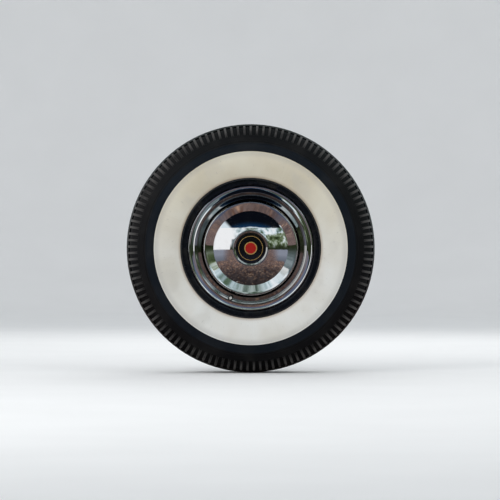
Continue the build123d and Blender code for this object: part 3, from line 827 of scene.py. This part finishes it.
chrome_clean = (0.82, 0.83, 0.85)
chrome, chrome_shader = material("chrome", chrome_clean, 0.05, 1.0)
chrome_tree = chrome.node_tree
chrome_cloud = noise_at(chrome_tree, 26.0, 6.0)
chrome_out = out_from_axle(chrome_tree)
chrome_hazed = mixed(
    chrome_tree, times(chrome_tree, between(chrome_tree, chrome_cloud, 0.5, 0.8), 0.3),
    (*chrome_clean, 1), (0.6, 0.58, 0.55, 1),
)
# The ring's trough and the bezel are darkened with painted shade.
trough_painted_shade = times(
    chrome_tree, between(chrome_tree, chrome_out, 144 * mm, 148 * mm),
    between(chrome_tree, chrome_out, 170 * mm, 166 * mm),
)
bezel_painted_shade = between(chrome_tree, chrome_out, 54.5 * mm, 52.5 * mm)
chrome_painted_shade = worked(chrome_tree, "MAXIMUM", trough_painted_shade, bezel_painted_shade)
chrome_shaded = mixed(chrome_tree, chrome_painted_shade, chrome_hazed, (0.5, 0.5, 0.49, 1), "MULTIPLY")
# Round the gap between cap and ring the chrome is painted nearly black as shade.
gap_painted_shade = times(
    chrome_tree, between(chrome_tree, chrome_out, 136.5 * mm, 141 * mm),
    between(chrome_tree, chrome_out, 149 * mm, 146.5 * mm),
)
chrome_tree.links.new(
    mixed(chrome_tree, times(chrome_tree, gap_painted_shade, 0.9), chrome_shaded, (0.02, 0.018, 0.016, 1)),
    chrome_shader.inputs["Base Color"],
)
chrome_tree.links.new(
    spread(chrome_tree, chrome_cloud, 0.4, 0.75, 0.03, 0.11), chrome_shader.inputs["Roughness"]
)
bumped(chrome_tree, chrome_shader, chrome_cloud, 0.06, 0.8 * mm)

ring_piece = to_scene(ring, "trim_ring_polished", chrome)
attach(ring_piece, "wheel")
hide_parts("trim_ring")

# Hub cap: pressed from sheet and chromed, its lip sprung over nubs on the disc, with a
# skirt, a rounded crest, a shallow cone down to a valley and a dome up to a flat middle.
cap_gauge = 0.9
cap_rounding = 1.6
cap_edge, cap_lip = -62.5, 137.7
cap_corner, cap_out = -76.5, 143.0
cap_crest, crest_out = -81.5, 137.0
valley, valley_out = -72.5, 111.0
dome_arc = 175.0
dome_steps = 24
pad_out = 53.0
dome_centre = valley + math.sqrt(dome_arc**2 - valley_out**2)
pad = dome_centre - math.sqrt(dome_arc**2 - pad_out**2)
dome_turn = math.degrees(math.asin(valley_out / dome_arc) - math.asin(pad_out / dome_arc))

cap, last = begin(cap_edge, cap_lip)
last = run(
    cap, last, (cap_edge, cap_out), (cap_corner, cap_out), (cap_crest, crest_out),
    (valley, valley_out),
)
cap.verts.ensure_lookup_table()
cap_corners = cap.verts[1:4]
last = bend(cap, last, (dome_centre, 0), dome_turn, dome_steps)
last = run(cap, last, (pad, 0))
rounded(cap, cap_corners, cap_rounding)
supported(cap)
round_axle(cap, chrome_steps)
bmesh.ops.solidify(cap, geom=cap.faces[:], thickness=cap_gauge * mm)
cap_piece = to_scene(cap, "hub_cap_chromed", chrome)
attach(cap_piece, "wheel")
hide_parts("hub_cap")

# Bezel: a chrome ring on the cap's flat middle, rounded outside, that slopes inwards and
# holds the medallion.
bezel_in = 45.0
bezel_high = 5.5
bezel_shoulder = 1.5
bezel_low = 2.8
bezel_rounding = 1.2
bezel, last = begin(pad, bezel_in)
last = run(
    bezel, last, (pad, pad_out), (pad - bezel_high / 2, pad_out),
    (pad - bezel_high, pad_out - bezel_shoulder), (pad - bezel_low, bezel_in), (pad, bezel_in),
)
bmesh.ops.remove_doubles(bezel, verts=bezel.verts, dist=0.01 * mm)
bezel.verts.ensure_lookup_table()
rounded(bezel, bezel.verts[2:4], bezel_rounding)
supported(bezel)
round_axle(bezel, turn_steps)
bezel_piece = to_scene(bezel, "bezel_rounded", chrome)
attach(bezel_piece, "wheel")
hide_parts("cap_bezel")

# Medallion: a plain dish of black enamel with a gilt ring and a small red enamelled
# centre, set in the bezel.
dish_out = 44.9
dish_high = 2.6
dish_dome = 1.2
dish_dome_steps = 16
dish_steps = 160
centre_out, gilt_out = 16.0, 19.0
thin_ring_in, thin_ring_out = 34.8, 36.2
dish, last = begin(pad, 0)
last = run(dish, last, (pad, dish_out), (pad - dish_high, dish_out))
dish_arc = arc_of(dish_dome, dish_out)
last = bend(
    dish, last, (pad - dish_high - dish_dome + dish_arc, 0),
    math.degrees(math.asin(dish_out / dish_arc)), dish_dome_steps,
)
round_axle(dish, dish_steps)

black, red, gilt = (0.003, 0.003, 0.004), (0.28, 0.012, 0.01), (0.3, 0.19, 0.06)
glaze, glaze_shader = material("medallion_enamel", black, 0.12)
glaze_tree = glaze.node_tree
glaze_share = spread(glaze_tree, out_from_axle(glaze_tree), 0, dish_out * mm)
glaze_edges = [out / dish_out for out in (0, centre_out, gilt_out, thin_ring_in, thin_ring_out)]
glaze_stops = zip(glaze_edges, (red, gilt, black, gilt, black))
glaze_tree.links.new(
    ramp(glaze_tree, glaze_share, *glaze_stops, blend="CONSTANT"),
    glaze_shader.inputs["Base Color"],
)
dish_piece = to_scene(dish, "medallion_dish", glaze)
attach(dish_piece, "wheel")
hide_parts("cap_medallion")

# Valve: a moulded rubber stem pulled through the hole in the rim's well. The adjuster's
# plug in the backing plate is of the same rubber.
valve_rubber, valve_rubber_shader = material("valve_rubber", (0.012, 0.012, 0.012), 0.6)
valve_tree = valve_rubber.node_tree
valve_tree.links.new(
    ramp(
        valve_tree, noise_at(valve_tree, 400.0, 2.0),
        (0.3, (0.01, 0.01, 0.01)), (0.8, (0.03, 0.028, 0.026)),
    ),
    valve_rubber_shader.inputs["Base Color"],
)
dress(valve_rubber, "valve_stem", "adjuster_plug")


# Steel, iron and brass of the valve's cap and of the axle end: plated, ground where it
# bears, forged, cast or painted elsewhere, each with a little grime.
def metal(name, clean, grime, roughness, metallic, scale):
    """A metal finish that varies between clean and grimy."""
    made, shader = material(name, clean, roughness, metallic)
    tree = made.node_tree
    cloud = noise_at(tree, scale, 6.0)
    tree.links.new(ramp(tree, cloud, (0.4, clean), (0.75, grime)), shader.inputs["Base Color"])
    gloss = spread(tree, cloud, 0, 1, roughness * 0.7, min(roughness * 1.4, 1.0))
    tree.links.new(gloss, shader.inputs["Roughness"])
    bumped(tree, shader, cloud, 0.15, 0.6 * mm)
    return made


dress(metal("nickel", (0.8, 0.8, 0.77), (0.5, 0.48, 0.44), 0.35, 0.4, 200.0), "valve_cap")
dress(
    metal("zinc_steel", (0.52, 0.51, 0.48), (0.25, 0.22, 0.18), 0.35, 1.0, 90.0),
    "wheel_studs", "lug_nuts", "cylinder_bolts", "bleeder_screw", "anchor_pin", "anchor_nut",
    "holddown_pins",
)
dress(
    metal("bright_steel", (0.6, 0.6, 0.6), (0.4, 0.38, 0.35), 0.25, 1.0, 120.0),
    "bearing_inner_ring", "bearing_collar", "bearing_outer_ring",
)
dress(metal("forged_steel", (0.2, 0.18, 0.17), (0.09, 0.075, 0.065), 0.5, 0.9, 60.0), "half_shaft")
dress(metal("drum_iron", (0.16, 0.14, 0.13), (0.12, 0.07, 0.045), 0.6, 0.7, 50.0), "brake_drum")
dress(
    metal("cylinder_iron", (0.2, 0.19, 0.18), (0.1, 0.07, 0.05), 0.6, 0.7, 90.0),
    "wheel_cylinder",
)
dress(
    metal("plate_black", (0.02, 0.02, 0.021), (0.06, 0.05, 0.042), 0.4, 0.0, 40.0),
    "backing_plate", "bearing_retainer",
)
dress(metal("brass", (0.6, 0.42, 0.18), (0.3, 0.2, 0.1), 0.35, 1.0, 90.0), "brake_inlet")
